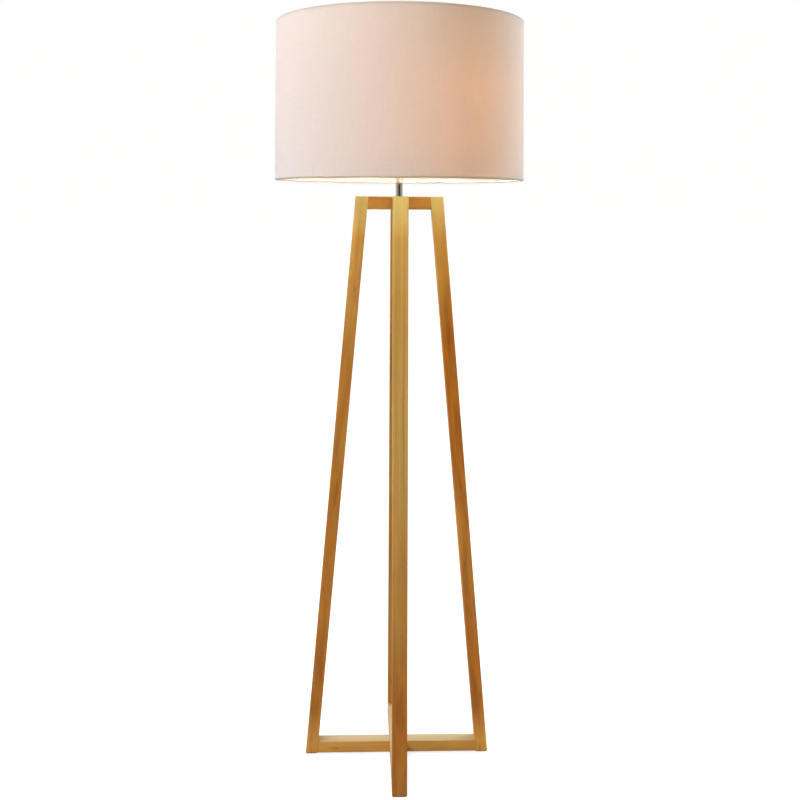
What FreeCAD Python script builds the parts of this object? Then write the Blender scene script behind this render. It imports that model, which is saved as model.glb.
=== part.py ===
import FreeCAD, Part
import math
import os

# Floor lamp: two wooden trapezoid frames cross at right angles and carry a short polished post, a
# lampholder with its bulb, and a drum shade.
# Millimetres. +Z is up, the origin is on the floor under the centre of the frames, and the front leg
# stands towards -Y. The side frame runs along X and the depth frame along Y.

Vector = FreeCAD.Vector
ORIGIN = Vector(0, 0, 0)
X_AXIS = Vector(1, 0, 0)
Y_AXIS = Vector(0, 1, 0)
Z_AXIS = Vector(0, 0, 1)

# Heights and the shape of the wooden frames
TOTAL_HEIGHT = 1500.0
FRAME_TOP = 1173.5
PAD_THICKNESS = 2.0
FOOT_REACH = 195.0         # centre to a leg's outer face at the floor
TOP_REACH = 86.0           # centre to a leg's outer face at the frame's top
BOARD_WIDTH = 25.0         # a leg's size in the frame's plane, and a rail's height
BOARD_DEPTH = 30.0         # size of legs and rails across the frame's plane
EDGE_ROUND = 1.2

# Dowels, and the screw in the lower halved joint
DOWEL_RADIUS = 4.0
DOWEL_GAP = 0.1            # glue gap round a dowel
DOWEL_OFFSET = 7.5         # from the rail's centre plane
DOWEL_IN_RAIL = 20.0
DOWEL_IN_LEG = 16.0
DOWEL_END_GAP = 1.0
PAD_MARGIN = 1.5           # the pad stops short of the foot's edges
SCREW_HEAD_RADIUS = 4.0
SCREW_HEAD_HEIGHT = 2.4
SCREW_RADIUS = 2.1
SCREW_LENGTH = 20.0
RECESS_WIDTH = 1.1
RECESS_SPAN = 4.4
RECESS_DEPTH = 1.6
SCREW_GAP = 0.1            # gap round a screw in its hole

# Threaded tube, its nut and washer, and the post round it
TUBE_RADIUS = 5.0
TUBE_BORE_RADIUS = 3.75
TUBE_PITCH = 1.0
TUBE_THREAD_DEPTH = 0.55
THREAD_RUNOUT = 1.0        # plain length at a thread's end
TUBE_BELOW_FRAME = 15.5
TUBE_HOLE_RADIUS = 5.3
SLIP = 0.1                 # radial gap of pieces that slip over the tube
WASHER_RADIUS = 12.0
WASHER_THICKNESS = 1.6
NUT_ACROSS_FLATS = 15.0
NUT_HEIGHT = 5.0
POST_RADIUS = 7.5
POST_WALL = 1.2
BUSH_RADIUS = 8.0
BUSH_GRIP = 6.5            # how far the bush reaches up round the tube
BUSH_LIP = 5.0             # how far it reaches below the tube
OUTLET_RADIUS = 3.5
OUTLET_CHAMFER = 1.0

# Lampholder
HOLDER_BOTTOM = 1212.0
HOLDER_RADIUS = 19.5
HOLDER_WALL = 2.0
CAP_NECK_RADIUS = 8.5
CAP_NECK_HEIGHT = 5.0
CAP_FLOOR = 2.0
CAP_HEIGHT = 26.0
SKIRT_HEIGHT = 34.0
SEAT_RADIUS = 26.5
SEAT_THICKNESS = 2.5
SEAT_RISE = 2.0            # seat's underside above the skirt's lower edge
SKIRT_THREAD_DEPTH = 0.6
SKIRT_PITCH = 2.5
INSERT_GAP = 0.3
INSERT_HEIGHT = 10.0
SHELL_INNER_RADIUS = 13.6
SHELL_WALL = 0.5
CONTACT_WIDTH = 5.0
CONTACT_THICKNESS = 0.6
CONTACT_FOOT = 9.0         # the contact strip's reach from the axis, at its fixed end
CONTACT_BEND = 3.0         # where it rises from the insert
CONTACT_REACH = 3.5        # its reach at its free end
CONTACT_RISE = 3.0         # height of the bulb's tip above the insert
TERMINAL_OFFSET = 9.5
TERMINAL_HEAD_RADIUS = 2.7
TERMINAL_HEAD_HEIGHT = 2.0
TERMINAL_RADIUS = 1.4
GRUB_RADIUS = 1.5

# Rotary switch in the holder cap
SWITCH_HEIGHT = 16.0       # spindle axis above the holder's bottom
SWITCH_BODY_SIZE = (18.0, 16.0, 12.0)
SWITCH_BODY_END = 14.0     # +X end of the switch body
BUSHING_RADIUS = 4.0
BUSHING_END = 17.0         # the switch body's round bushing meets the cap's wall here
SPINDLE_RADIUS = 2.0
SPINDLE_DEPTH = 5.0
SPINDLE_GAP = 0.3
KNOB_RADIUS = 5.5
KNOB_LENGTH = 12.0
KNOB_FLUTES = 12
KNOB_FLUTE_RADIUS = 0.9
KNOB_COLLAR = 2.0          # plain length before the flutes
KNOB_STANDOFF = 1.5

# Shade and its ring nut
SHADE_HEIGHT = 296.0
SHADE_TOP_RADIUS = 236.0
SHADE_BOTTOM_RADIUS = 243.0
FABRIC_THICKNESS = 0.6
LINER_THICKNESS = 0.5
LAYER_GAP = 0.05
WIRE_RADIUS = 1.8
SPOKE_RADIUS = 1.5
SPOKE_COUNT = 3
SPOKE_BEND = 14.0
FIRST_SPOKE = -90.0        # direction of the first spoke, towards the front leg
SPOKE_INSET = 0.8          # a spoke's upright end stands this far inside the wire's centre line
WELD_OVERLAP = 0.5         # how far a spoke reaches over the centre ring
HEM_WIDTH = 5.6            # the turned hem's reach inwards from the outer face
HEM_RETURN = 2.4           # how far the turned hem stands up inside
CENTRE_RING_GAP = 0.8
CENTRE_RING_RADIUS = 30.0
CENTRE_RING_THICKNESS = 2.0
RING_NUT_RADIUS = 25.0
RING_NUT_HEIGHT = 8.0
RING_NUT_GAP = 0.3
RING_NUT_FLUTES = 30
RING_NUT_FLUTE_RADIUS = 1.0
RING_NUT_COLLAR = 1.5      # plain height below the flutes

# Bulb
TIP_RADIUS = 4.6
TIP_THICKNESS = 1.5
TIP_CHAMFER = 0.8
TIP_LENGTH = 4.5           # from the bulb's lower end to its metal cap
INSULATOR_FOOT_RADIUS = 4.8
BULB_CAP_RADIUS = 13.2
BULB_CAP_LENGTH = 24.0
BULB_CAP_WALL = 0.5
CAP_MOUTH_RADIUS = 9.8
CAP_SHOULDER = 2.0         # height of the cap's sloping lower end
CAP_PLAIN = 4.0            # plain height above the cap's thread
BULB_THREAD_DEPTH = 0.7
BULB_PITCH = 3.6
BULB_RADIUS = 30.0
BULB_LENGTH = 109.0
DOME_WALL = 1.2
HOUSING_WALL = 1.6
HOUSING_STEP = 0.6         # how far the housing stands out from the metal cap
FLARE_SHARE = 0.4          # share of its widening that the housing has at half its height
LED_BOARD_RADIUS = 26.9
LED_BOARD_THICKNESS = 1.6
LED_COUNT = 8
LED_CIRCLE_RADIUS = 15.0
LED_SIZE = 3.0
LED_HEIGHT = 0.8

# Heights that follow from the sizes above
SHADE_BOTTOM = TOTAL_HEIGHT - SHADE_HEIGHT
RAIL_TOP_Z = FRAME_TOP - BOARD_WIDTH
TUBE_BOTTOM = RAIL_TOP_Z - TUBE_BELOW_FRAME
CAP_INSIDE = HOLDER_BOTTOM + CAP_NECK_HEIGHT + CAP_FLOOR
CAP_TOP = HOLDER_BOTTOM + CAP_HEIGHT
SKIRT_TOP = CAP_TOP + SKIRT_HEIGHT
SEAT_TOP = CAP_TOP + SEAT_RISE + SEAT_THICKNESS
INSERT_BOTTOM = CAP_TOP + SEAT_RISE
INSERT_TOP = INSERT_BOTTOM + INSERT_HEIGHT
RING_NUT_BOTTOM = SEAT_TOP + CENTRE_RING_THICKNESS
BULB_BOTTOM = INSERT_TOP + CONTACT_RISE
BULB_CENTRE = BULB_BOTTOM + BULB_LENGTH - BULB_RADIUS
DOME_BOTTOM = BULB_CENTRE - BULB_RADIUS / 3
CAP_START = BULB_BOTTOM + TIP_LENGTH
CAP_END = CAP_START + BULB_CAP_LENGTH


def polygon_face(points):
    """A flat face from a list of vectors."""
    return Part.Face(Part.makePolygon(points + [points[0]]))


def turned(outline):
    """A solid of revolution about Z from (radius, height) points."""
    face = polygon_face([Vector(radius, 0, height) for radius, height in outline])
    return face.revolve(ORIGIN, Z_AXIS, 360)


def tube(inner_radius, outer_radius, bottom, top):
    """A plain round tube standing on Z."""
    return turned([(inner_radius, bottom), (outer_radius, bottom), (outer_radius, top), (inner_radius, top)])


def thread_points(crest, depth, pitch, bottom, top):
    """The zigzag outline of ring-shaped thread ridges from bottom to top."""
    count = int((top - bottom) / pitch)
    points = []
    for index in range(count):
        start = bottom + index * pitch
        points.append((crest - depth, start))
        points.append((crest, start + pitch / 2))
    points.append((crest - depth, bottom + count * pitch))
    return points


def about_z(shape, angle):
    """A copy turned about the lamp's own axis."""
    copy = shape.copy()
    copy.rotate(ORIGIN, Z_AXIS, angle)
    return copy


def leg_reach(height):
    """Distance from the centre to a leg's outer face at a height."""
    return FOOT_REACH + (TOP_REACH - FOOT_REACH) * height / FRAME_TOP


def leg_inside(height):
    """Distance from the centre to a leg's inner face at a height."""
    slant = math.atan2(FOOT_REACH - TOP_REACH, FRAME_TOP)
    return leg_reach(height) - BOARD_WIDTH / math.cos(slant)


def board(outline, long_edge):
    """A board from its outline in the XZ plane, with its long edges eased."""
    half = BOARD_DEPTH / 2
    face = polygon_face([Vector(x, -half, z) for x, z in outline])
    solid = face.extrude(Vector(0, BOARD_DEPTH, 0))
    edges = [edge for edge in solid.Edges if edge.Length > long_edge]
    return solid.makeFillet(EDGE_ROUND, edges)


def dowel_rods(rail_bottom, radius, end_gap):
    """The two dowels, or their holes, at the +X end of the rail that starts at rail_bottom."""
    height = rail_bottom + BOARD_WIDTH / 2
    start = leg_inside(height) - DOWEL_IN_RAIL + end_gap
    length = DOWEL_IN_RAIL + DOWEL_IN_LEG - 2 * end_gap
    return [
        Part.makeCylinder(radius, length, Vector(start, side * DOWEL_OFFSET, height), X_AXIS)
        for side in (-1, 1)
    ]


def leg():
    """The leg at +X, with the holes for its dowels."""
    low, high = PAD_THICKNESS, FRAME_TOP
    outline = [
        (leg_reach(low), low),
        (leg_reach(high), high),
        (leg_inside(high), high),
        (leg_inside(low), low),
    ]
    solid = board(outline, FRAME_TOP / 2)
    for rail_bottom in (PAD_THICKNESS, RAIL_TOP_Z):
        for hole in dowel_rods(rail_bottom, DOWEL_RADIUS, 0):
            solid = solid.cut(hole)
    return solid


def rail(bottom, notch_above):
    """A rail along X between two legs, halved at its middle from above or from below."""
    top = bottom + BOARD_WIDTH
    outline = [
        (-leg_inside(bottom), bottom),
        (leg_inside(bottom), bottom),
        (leg_inside(top), top),
        (-leg_inside(top), top),
    ]
    solid = board(outline, leg_inside(top))
    notch_bottom = bottom + BOARD_WIDTH / 2 if notch_above else bottom
    half = BOARD_DEPTH / 2
    corner = Vector(-half, -half, notch_bottom)
    solid = solid.cut(Part.makeBox(BOARD_DEPTH, BOARD_DEPTH, BOARD_WIDTH / 2, corner))
    for end in (0, 180):
        for hole in dowel_rods(bottom, DOWEL_RADIUS, 0):
            solid = solid.cut(about_z(hole, end))
    return solid


def top_rail(notch_above):
    """A top rail with the hole for the threaded tube."""
    hole = Part.makeCylinder(TUBE_HOLE_RADIUS, BOARD_WIDTH, Vector(0, 0, RAIL_TOP_Z))
    return rail(RAIL_TOP_Z, notch_above).cut(hole)


def bottom_cross_screw(gap):
    """The countersunk screw that holds the lower halved joint, or its hole when gap is above 0."""
    low = PAD_THICKNESS
    neck = low + SCREW_HEAD_HEIGHT
    tip = low + SCREW_LENGTH
    radius = SCREW_RADIUS + gap
    return turned([
        (0, low),
        (SCREW_HEAD_RADIUS + gap, low),
        (radius, neck),
        (radius, tip - SCREW_RADIUS),
        (0, tip + gap),
    ])


def cross_recess(bottom):
    """The driver recess of the cross screw."""
    half_width, half_span = RECESS_WIDTH / 2, RECESS_SPAN / 2
    slot = Part.makeBox(RECESS_SPAN, RECESS_WIDTH, RECESS_DEPTH, Vector(-half_span, -half_width, bottom))
    return slot.fuse(about_z(slot, 90))


def bottom_rail(notch_above):
    """A bottom rail with the hole for the cross screw."""
    return rail(PAD_THICKNESS, notch_above).cut(bottom_cross_screw(SCREW_GAP))


def all_dowels(rail_bottom):
    """The eight dowels of one level, two in each corner."""
    rods = dowel_rods(rail_bottom, DOWEL_RADIUS - DOWEL_GAP, DOWEL_END_GAP)
    return Part.makeCompound([about_z(rod, quarter * 90) for quarter in range(4) for rod in rods])


def floor_pads():
    """A felt pad under each foot."""
    inside = leg_inside(0) + PAD_MARGIN
    length = leg_reach(0) - PAD_MARGIN - inside
    width = BOARD_DEPTH - 2 * PAD_MARGIN
    pad = Part.makeBox(length, width, PAD_THICKNESS, Vector(inside, -width / 2, 0))
    return Part.makeCompound([about_z(pad, quarter * 90) for quarter in range(4)])


def threaded_tube():
    """The hollow tube with a thread at each end."""
    top = CAP_INSIDE + CAP_FLOOR
    root = TUBE_RADIUS - TUBE_THREAD_DEPTH
    depth, pitch = TUBE_THREAD_DEPTH, TUBE_PITCH
    lower = thread_points(TUBE_RADIUS, depth, pitch, TUBE_BOTTOM + THREAD_RUNOUT, RAIL_TOP_Z)
    upper = thread_points(TUBE_RADIUS, depth, pitch, HOLDER_BOTTOM, top - THREAD_RUNOUT)
    outline = [(TUBE_BORE_RADIUS, TUBE_BOTTOM), (root, TUBE_BOTTOM)] + lower + upper
    return turned(outline + [(root, top), (TUBE_BORE_RADIUS, top)])


def tube_washer():
    """The washer under the upper joint."""
    return tube(TUBE_RADIUS + SLIP, WASHER_RADIUS, RAIL_TOP_Z - WASHER_THICKNESS, RAIL_TOP_Z)


def tube_nut():
    """The hexagon nut under the washer, with its corners turned off."""
    top = RAIL_TOP_Z - WASHER_THICKNESS
    bottom = top - NUT_HEIGHT
    sides = 6
    corner = NUT_ACROSS_FLATS / 2 / math.cos(math.pi / sides)
    turns = [2 * math.pi * index / sides for index in range(sides)]
    hexagon = polygon_face([Vector(corner * math.cos(a), corner * math.sin(a), bottom) for a in turns])
    prism = hexagon.extrude(Vector(0, 0, NUT_HEIGHT))
    chamfer = corner - NUT_ACROSS_FLATS / 2
    outline = [
        (TUBE_RADIUS + SLIP, bottom),
        (corner - chamfer, bottom),
        (corner, bottom + chamfer),
        (corner, top - chamfer),
        (corner - chamfer, top),
        (TUBE_RADIUS + SLIP, top),
    ]
    return prism.common(turned(outline))


def cable_outlet_bush():
    """The bush that covers the tube's lower end and gives the cord a smooth way out."""
    bottom = TUBE_BOTTOM - BUSH_LIP
    top = TUBE_BOTTOM + BUSH_GRIP
    return turned([
        (OUTLET_RADIUS + OUTLET_CHAMFER, bottom),
        (BUSH_RADIUS - OUTLET_CHAMFER, bottom),
        (BUSH_RADIUS, bottom + OUTLET_CHAMFER),
        (BUSH_RADIUS, top),
        (TUBE_RADIUS + SLIP, top),
        (TUBE_RADIUS + SLIP, TUBE_BOTTOM),
        (OUTLET_RADIUS, TUBE_BOTTOM),
        (OUTLET_RADIUS, bottom + OUTLET_CHAMFER),
    ])


def post_sleeve():
    """The polished post between the frame and the lampholder."""
    return tube(POST_RADIUS - POST_WALL, POST_RADIUS, FRAME_TOP, HOLDER_BOTTOM)


def switch_axis_z():
    """Height of the switch spindle."""
    return HOLDER_BOTTOM + SWITCH_HEIGHT


def spindle_rod(start, end, radius):
    """A rod on the switch axis between two distances from the lamp's axis."""
    return Part.makeCylinder(radius, end - start, Vector(start, 0, switch_axis_z()), X_AXIS)


def grub_screw(gap):
    """The grub screw in the cap's neck, or its hole when gap is above 0."""
    start = TUBE_RADIUS + SLIP
    length = CAP_NECK_RADIUS - start
    place = Vector(0, start, HOLDER_BOTTOM + CAP_NECK_HEIGHT / 2)
    return Part.makeCylinder(GRUB_RADIUS + gap, length, place, Y_AXIS)


def holder_cap():
    """The lower shell of the lampholder, a cup with a neck that screws on the tube."""
    inside = HOLDER_RADIUS - HOLDER_WALL
    shoulder = HOLDER_BOTTOM + CAP_NECK_HEIGHT
    round_off = HOLDER_WALL * 2
    cup = turned([
        (TUBE_RADIUS + SLIP, HOLDER_BOTTOM),
        (CAP_NECK_RADIUS, HOLDER_BOTTOM),
        (CAP_NECK_RADIUS, shoulder),
        (HOLDER_RADIUS - round_off, shoulder),
        (HOLDER_RADIUS, shoulder + round_off),
        (HOLDER_RADIUS, CAP_TOP),
        (inside, CAP_TOP),
        (inside, shoulder + round_off),
        (inside - HOLDER_WALL, CAP_INSIDE),
        (TUBE_RADIUS + SLIP, CAP_INSIDE),
    ])
    hole = spindle_rod(SWITCH_BODY_END, HOLDER_RADIUS + HOLDER_WALL, SPINDLE_RADIUS + SPINDLE_GAP)
    return cup.cut(hole).cut(grub_screw(SCREW_GAP))


def holder_skirt():
    """The upper shell of the lampholder, with the shade's seat and the thread for the ring nut."""
    inside = HOLDER_RADIUS - HOLDER_WALL
    seat_bottom = CAP_TOP + SEAT_RISE
    thread_top = SKIRT_TOP - THREAD_RUNOUT
    ridges = thread_points(HOLDER_RADIUS, SKIRT_THREAD_DEPTH, SKIRT_PITCH, SEAT_TOP, thread_top)
    outline = [(inside, CAP_TOP), (HOLDER_RADIUS, CAP_TOP), (HOLDER_RADIUS, seat_bottom)]
    outline += [(SEAT_RADIUS, seat_bottom), (SEAT_RADIUS, SEAT_TOP)]
    outline += ridges
    outline += [(HOLDER_RADIUS - SKIRT_THREAD_DEPTH, SKIRT_TOP), (inside, SKIRT_TOP)]
    return turned(outline)


def terminal_places():
    """Centres of the two terminal screws, one at each side of the insert."""
    return [Vector(0, side * TERMINAL_OFFSET, INSERT_BOTTOM) for side in (-1, 1)]


def terminal_screws():
    """The two screws that hold the wires under the insert."""
    screws = []
    for place in terminal_places():
        head = Part.makeCylinder(
            TERMINAL_HEAD_RADIUS, TERMINAL_HEAD_HEIGHT, place - Vector(0, 0, TERMINAL_HEAD_HEIGHT)
        )
        shank = Part.makeCylinder(TERMINAL_RADIUS, INSERT_HEIGHT / 2, place)
        screws.append(head.fuse(shank))
    return Part.makeCompound(screws)


def holder_insert():
    """The ceramic disc that carries the contacts."""
    radius = HOLDER_RADIUS - HOLDER_WALL - INSERT_GAP
    disc = Part.makeCylinder(radius, INSERT_HEIGHT, Vector(0, 0, INSERT_BOTTOM))
    for place in terminal_places():
        hole = Part.makeCylinder(TERMINAL_RADIUS + SCREW_GAP, INSERT_HEIGHT / 2 + SCREW_GAP, place)
        disc = disc.cut(hole)
    return disc


def socket_shell():
    """The metal shell that the bulb's cap screws into, open at the top."""
    outer = SHELL_INNER_RADIUS + SHELL_WALL
    return tube(SHELL_INNER_RADIUS, outer, INSERT_TOP, SKIRT_TOP)


def centre_contact():
    """The bent strip that presses on the bulb's tip."""
    foot, start, end = CONTACT_FOOT, CONTACT_BEND, CONTACT_REACH
    low = INSERT_TOP
    high = BULB_BOTTOM - CONTACT_THICKNESS - SPINDLE_GAP
    thick = CONTACT_THICKNESS
    outline = [
        (-foot, low),
        (-start, low),
        (0, high),
        (end, high),
        (end, high + thick),
        (0, high + thick),
        (-start, low + thick),
        (-foot, low + thick),
    ]
    half = CONTACT_WIDTH / 2
    return polygon_face([Vector(x, -half, z) for x, z in outline]).extrude(Vector(0, CONTACT_WIDTH, 0))


def switch_body():
    """The switch block inside the holder cap."""
    length, width, height = SWITCH_BODY_SIZE
    corner = Vector(SWITCH_BODY_END - length, -width / 2, switch_axis_z() - height / 2)
    block = Part.makeBox(length, width, height, corner)
    block = block.fuse(spindle_rod(0, BUSHING_END, BUSHING_RADIUS))
    depth = SPINDLE_DEPTH + SPINDLE_GAP
    return block.cut(spindle_rod(SWITCH_BODY_END - depth, BUSHING_END, SPINDLE_RADIUS + SPINDLE_GAP))


def knob_start():
    """Distance from the lamp's axis to the knob's inner end."""
    return HOLDER_RADIUS + KNOB_STANDOFF


def switch_spindle():
    """The spindle from the switch block into the knob."""
    return spindle_rod(SWITCH_BODY_END - SPINDLE_DEPTH, knob_start() + KNOB_LENGTH / 2, SPINDLE_RADIUS)


def switch_knob():
    """The fluted knob with a rounded end."""
    start = knob_start()
    end = start + KNOB_LENGTH
    knob = spindle_rod(start, end, KNOB_RADIUS)
    end_edges = [edge for edge in knob.Edges if edge.BoundBox.XMin > (start + end) / 2]
    knob = knob.makeFillet(EDGE_ROUND, end_edges)
    for index in range(KNOB_FLUTES):
        angle = 2 * math.pi * index / KNOB_FLUTES
        across = KNOB_RADIUS * math.cos(angle)
        up = switch_axis_z() + KNOB_RADIUS * math.sin(angle)
        place = Vector(start + KNOB_COLLAR, across, up)
        knob = knob.cut(Part.makeCylinder(KNOB_FLUTE_RADIUS, KNOB_LENGTH, place, X_AXIS))
    return knob.cut(switch_spindle())


def shade_radius(height):
    """The shade's outer radius at a height."""
    rise = (height - SHADE_BOTTOM) / SHADE_HEIGHT
    return SHADE_BOTTOM_RADIUS + (SHADE_TOP_RADIUS - SHADE_BOTTOM_RADIUS) * rise


def shade_fabric():
    """The fabric cover's wall."""
    low, high = SHADE_BOTTOM, TOTAL_HEIGHT
    wide, narrow = SHADE_BOTTOM_RADIUS, SHADE_TOP_RADIUS
    thick = FABRIC_THICKNESS
    return turned([(wide, low), (narrow, high), (narrow - thick, high), (wide - thick, low)])


def shade_hem(wall_radius, edge, inward):
    """The hem that covers a wire, from the wall's inner face; inward is 1 above the edge and -1 below it."""
    thick = FABRIC_THICKNESS
    outside, inside = wall_radius - thick, wall_radius - HEM_WIDTH
    return turned([
        (outside, edge),
        (inside, edge),
        (inside, edge + inward * HEM_RETURN),
        (inside + thick, edge + inward * HEM_RETURN),
        (inside + thick, edge + inward * thick),
        (outside, edge + inward * thick),
    ])


def shade_bottom_hem():
    """The cover's hem round the lower wire, cut to the wall's slope."""
    return shade_hem(SHADE_BOTTOM_RADIUS, SHADE_BOTTOM, 1).cut(shade_fabric())


def shade_top_hem():
    """The cover's hem round the upper wire, cut to the wall's slope."""
    return shade_hem(SHADE_TOP_RADIUS, TOTAL_HEIGHT, -1).cut(shade_fabric())


def shade_liner():
    """The stiff white sheet that the fabric is glued to."""
    low = SHADE_BOTTOM + FABRIC_THICKNESS + LAYER_GAP
    high = TOTAL_HEIGHT - FABRIC_THICKNESS - LAYER_GAP
    outside = FABRIC_THICKNESS + LAYER_GAP
    inside = outside + LINER_THICKNESS
    return turned([
        (shade_radius(low) - outside, low),
        (shade_radius(high) - outside, high),
        (shade_radius(high) - inside, high),
        (shade_radius(low) - inside, low),
    ])


def wire_radius_at(height):
    """Distance from the axis to the centre of a shade wire at a height."""
    layers = FABRIC_THICKNESS + LINER_THICKNESS + 2 * LAYER_GAP
    return shade_radius(height) - layers - WIRE_RADIUS - LAYER_GAP


def wire_ring(height):
    """One round wire ring of the shade."""
    return Part.makeTorus(wire_radius_at(height), WIRE_RADIUS, Vector(0, 0, height))


def bottom_wire_z():
    """Height of the lower wire ring's centre."""
    return SHADE_BOTTOM + FABRIC_THICKNESS + LAYER_GAP + WIRE_RADIUS


def top_wire_z():
    """Height of the upper wire ring's centre."""
    return TOTAL_HEIGHT - FABRIC_THICKNESS - LAYER_GAP - WIRE_RADIUS


def shade_bottom_ring():
    """The lower wire ring."""
    return wire_ring(bottom_wire_z())


def shade_top_ring():
    """The upper wire ring."""
    return wire_ring(top_wire_z())


def shade_centre_ring():
    """The flat ring that the ring nut clamps on the holder's seat."""
    hole = HOLDER_RADIUS + CENTRE_RING_GAP
    return tube(hole, CENTRE_RING_RADIUS, SEAT_TOP, SEAT_TOP + CENTRE_RING_THICKNESS)


def spoke():
    """One spoke along X: out from the centre ring, then bent down to the lower wire ring."""
    level = SEAT_TOP + CENTRE_RING_THICKNESS / 2
    reach = wire_radius_at(bottom_wire_z()) - SPOKE_INSET
    start = Vector(CENTRE_RING_RADIUS - WELD_OVERLAP, 0, level)
    bend_start = Vector(reach - SPOKE_BEND, 0, level)
    lean = SPOKE_BEND * (1 - math.sqrt(0.5))
    bend_middle = Vector(reach - lean, 0, level - lean)
    bend_end = Vector(reach, 0, level - SPOKE_BEND)
    end = Vector(reach, 0, bottom_wire_z())
    path = Part.Wire([
        Part.LineSegment(start, bend_start).toShape(),
        Part.Arc(bend_start, bend_middle, bend_end).toShape(),
        Part.LineSegment(bend_end, end).toShape(),
    ])
    section = Part.Wire([Part.makeCircle(SPOKE_RADIUS, start, X_AXIS)])
    rod = path.makePipeShell([section], True, False)
    return rod.cut(shade_centre_ring()).cut(shade_bottom_ring())


def shade_spokes():
    """The spokes, whose ends are shaped to the two rings that they are welded to."""
    rod = spoke()
    turns = [FIRST_SPOKE + 360 * index / SPOKE_COUNT for index in range(SPOKE_COUNT)]
    return Part.makeCompound([about_z(rod, turn) for turn in turns])


def shade_ring_nut():
    """The fluted ring nut that clamps the shade's centre ring."""
    bottom = RING_NUT_BOTTOM
    nut = tube(HOLDER_RADIUS + RING_NUT_GAP, RING_NUT_RADIUS, bottom, bottom + RING_NUT_HEIGHT)
    for index in range(RING_NUT_FLUTES):
        angle = 2 * math.pi * index / RING_NUT_FLUTES
        across, along = RING_NUT_RADIUS * math.cos(angle), RING_NUT_RADIUS * math.sin(angle)
        place = Vector(across, along, bottom + RING_NUT_COLLAR)
        nut = nut.cut(Part.makeCylinder(RING_NUT_FLUTE_RADIUS, RING_NUT_HEIGHT, place))
    return nut


def bulb_contact_tip():
    """The button at the bulb's lower end."""
    low, high = BULB_BOTTOM, BULB_BOTTOM + TIP_THICKNESS
    foot = TIP_RADIUS - TIP_CHAMFER
    return turned([(0, low), (foot, low), (TIP_RADIUS, low + TIP_CHAMFER), (TIP_RADIUS, high), (0, high)])


def bulb_cap_insulator():
    """The dark insulating cone between the tip and the screw cap."""
    low, high = BULB_BOTTOM + TIP_THICKNESS, CAP_START + 2 * BULB_CAP_WALL
    radius = CAP_MOUTH_RADIUS - BULB_CAP_WALL
    return turned([(0, low), (INSULATOR_FOOT_RADIUS, low), (radius, CAP_START), (radius, high), (0, high)])


def bulb_screw_cap():
    """The thin threaded metal cap of the bulb."""
    crest, wall = BULB_CAP_RADIUS, BULB_CAP_WALL
    root = crest - BULB_THREAD_DEPTH
    thread_start = CAP_START + CAP_SHOULDER
    ridges = thread_points(crest, BULB_THREAD_DEPTH, BULB_PITCH, thread_start, CAP_END - CAP_PLAIN)
    outline = [(CAP_MOUTH_RADIUS, CAP_START)] + ridges
    outline += [(crest, CAP_END - CAP_PLAIN / 2), (crest, CAP_END), (root - wall, CAP_END)]
    outline += [(root - wall, thread_start + wall), (CAP_MOUTH_RADIUS - wall / 4, CAP_START + 2 * wall)]
    return turned(outline)


def dome_edge_radius(sphere_radius):
    """Radius of a sphere round the bulb's centre at the dome's lower edge."""
    return math.sqrt(sphere_radius ** 2 - (BULB_CENTRE - DOME_BOTTOM) ** 2)


def bulb_dome():
    """The opal dome, a hollow part of a sphere."""
    centre = Vector(0, 0, BULB_CENTRE)
    ball = Part.makeSphere(BULB_RADIUS, centre).cut(Part.makeSphere(BULB_RADIUS - DOME_WALL, centre))
    keep = Part.makeCylinder(2 * BULB_RADIUS, 2 * BULB_RADIUS, Vector(0, 0, DOME_BOTTOM))
    return ball.common(keep)


def flare_edge(low_radius, high_radius, low, high):
    """The hollow curve of the bulb's housing, as one arc in the XZ plane."""
    middle_radius = low_radius + (high_radius - low_radius) * FLARE_SHARE
    middle = Vector(middle_radius, 0, (low + high) / 2)
    return Part.Arc(Vector(low_radius, 0, low), middle, Vector(high_radius, 0, high)).toShape()


def bulb_housing():
    """The flared plastic body between the screw cap and the dome."""
    low, high = CAP_END, DOME_BOTTOM
    foot, rim = BULB_CAP_RADIUS + HOUSING_STEP, dome_edge_radius(BULB_RADIUS)
    outer = flare_edge(foot, rim, low, high)
    inner = flare_edge(foot - HOUSING_WALL, rim - HOUSING_WALL, low, high)
    ends = [
        Part.LineSegment(Vector(foot - HOUSING_WALL, 0, low), Vector(foot, 0, low)).toShape(),
        Part.LineSegment(Vector(rim, 0, high), Vector(rim - HOUSING_WALL, 0, high)).toShape(),
    ]
    face = Part.Face(Part.Wire(Part.__sortEdges__([outer, inner] + ends)))
    return face.revolve(ORIGIN, Z_AXIS, 360)


def led_board():
    """The round board that closes the housing under the dome."""
    return Part.makeCylinder(LED_BOARD_RADIUS, LED_BOARD_THICKNESS, Vector(0, 0, DOME_BOTTOM))


def led_chips():
    """The light-emitting chips, in a circle on the board."""
    chips = []
    half = LED_SIZE / 2
    top = DOME_BOTTOM + LED_BOARD_THICKNESS
    chip = Part.makeBox(LED_SIZE, LED_SIZE, LED_HEIGHT, Vector(LED_CIRCLE_RADIUS - half, -half, top))
    for index in range(LED_COUNT):
        chips.append(about_z(chip, index * 360 / LED_COUNT))
    return Part.makeCompound(chips)


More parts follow.
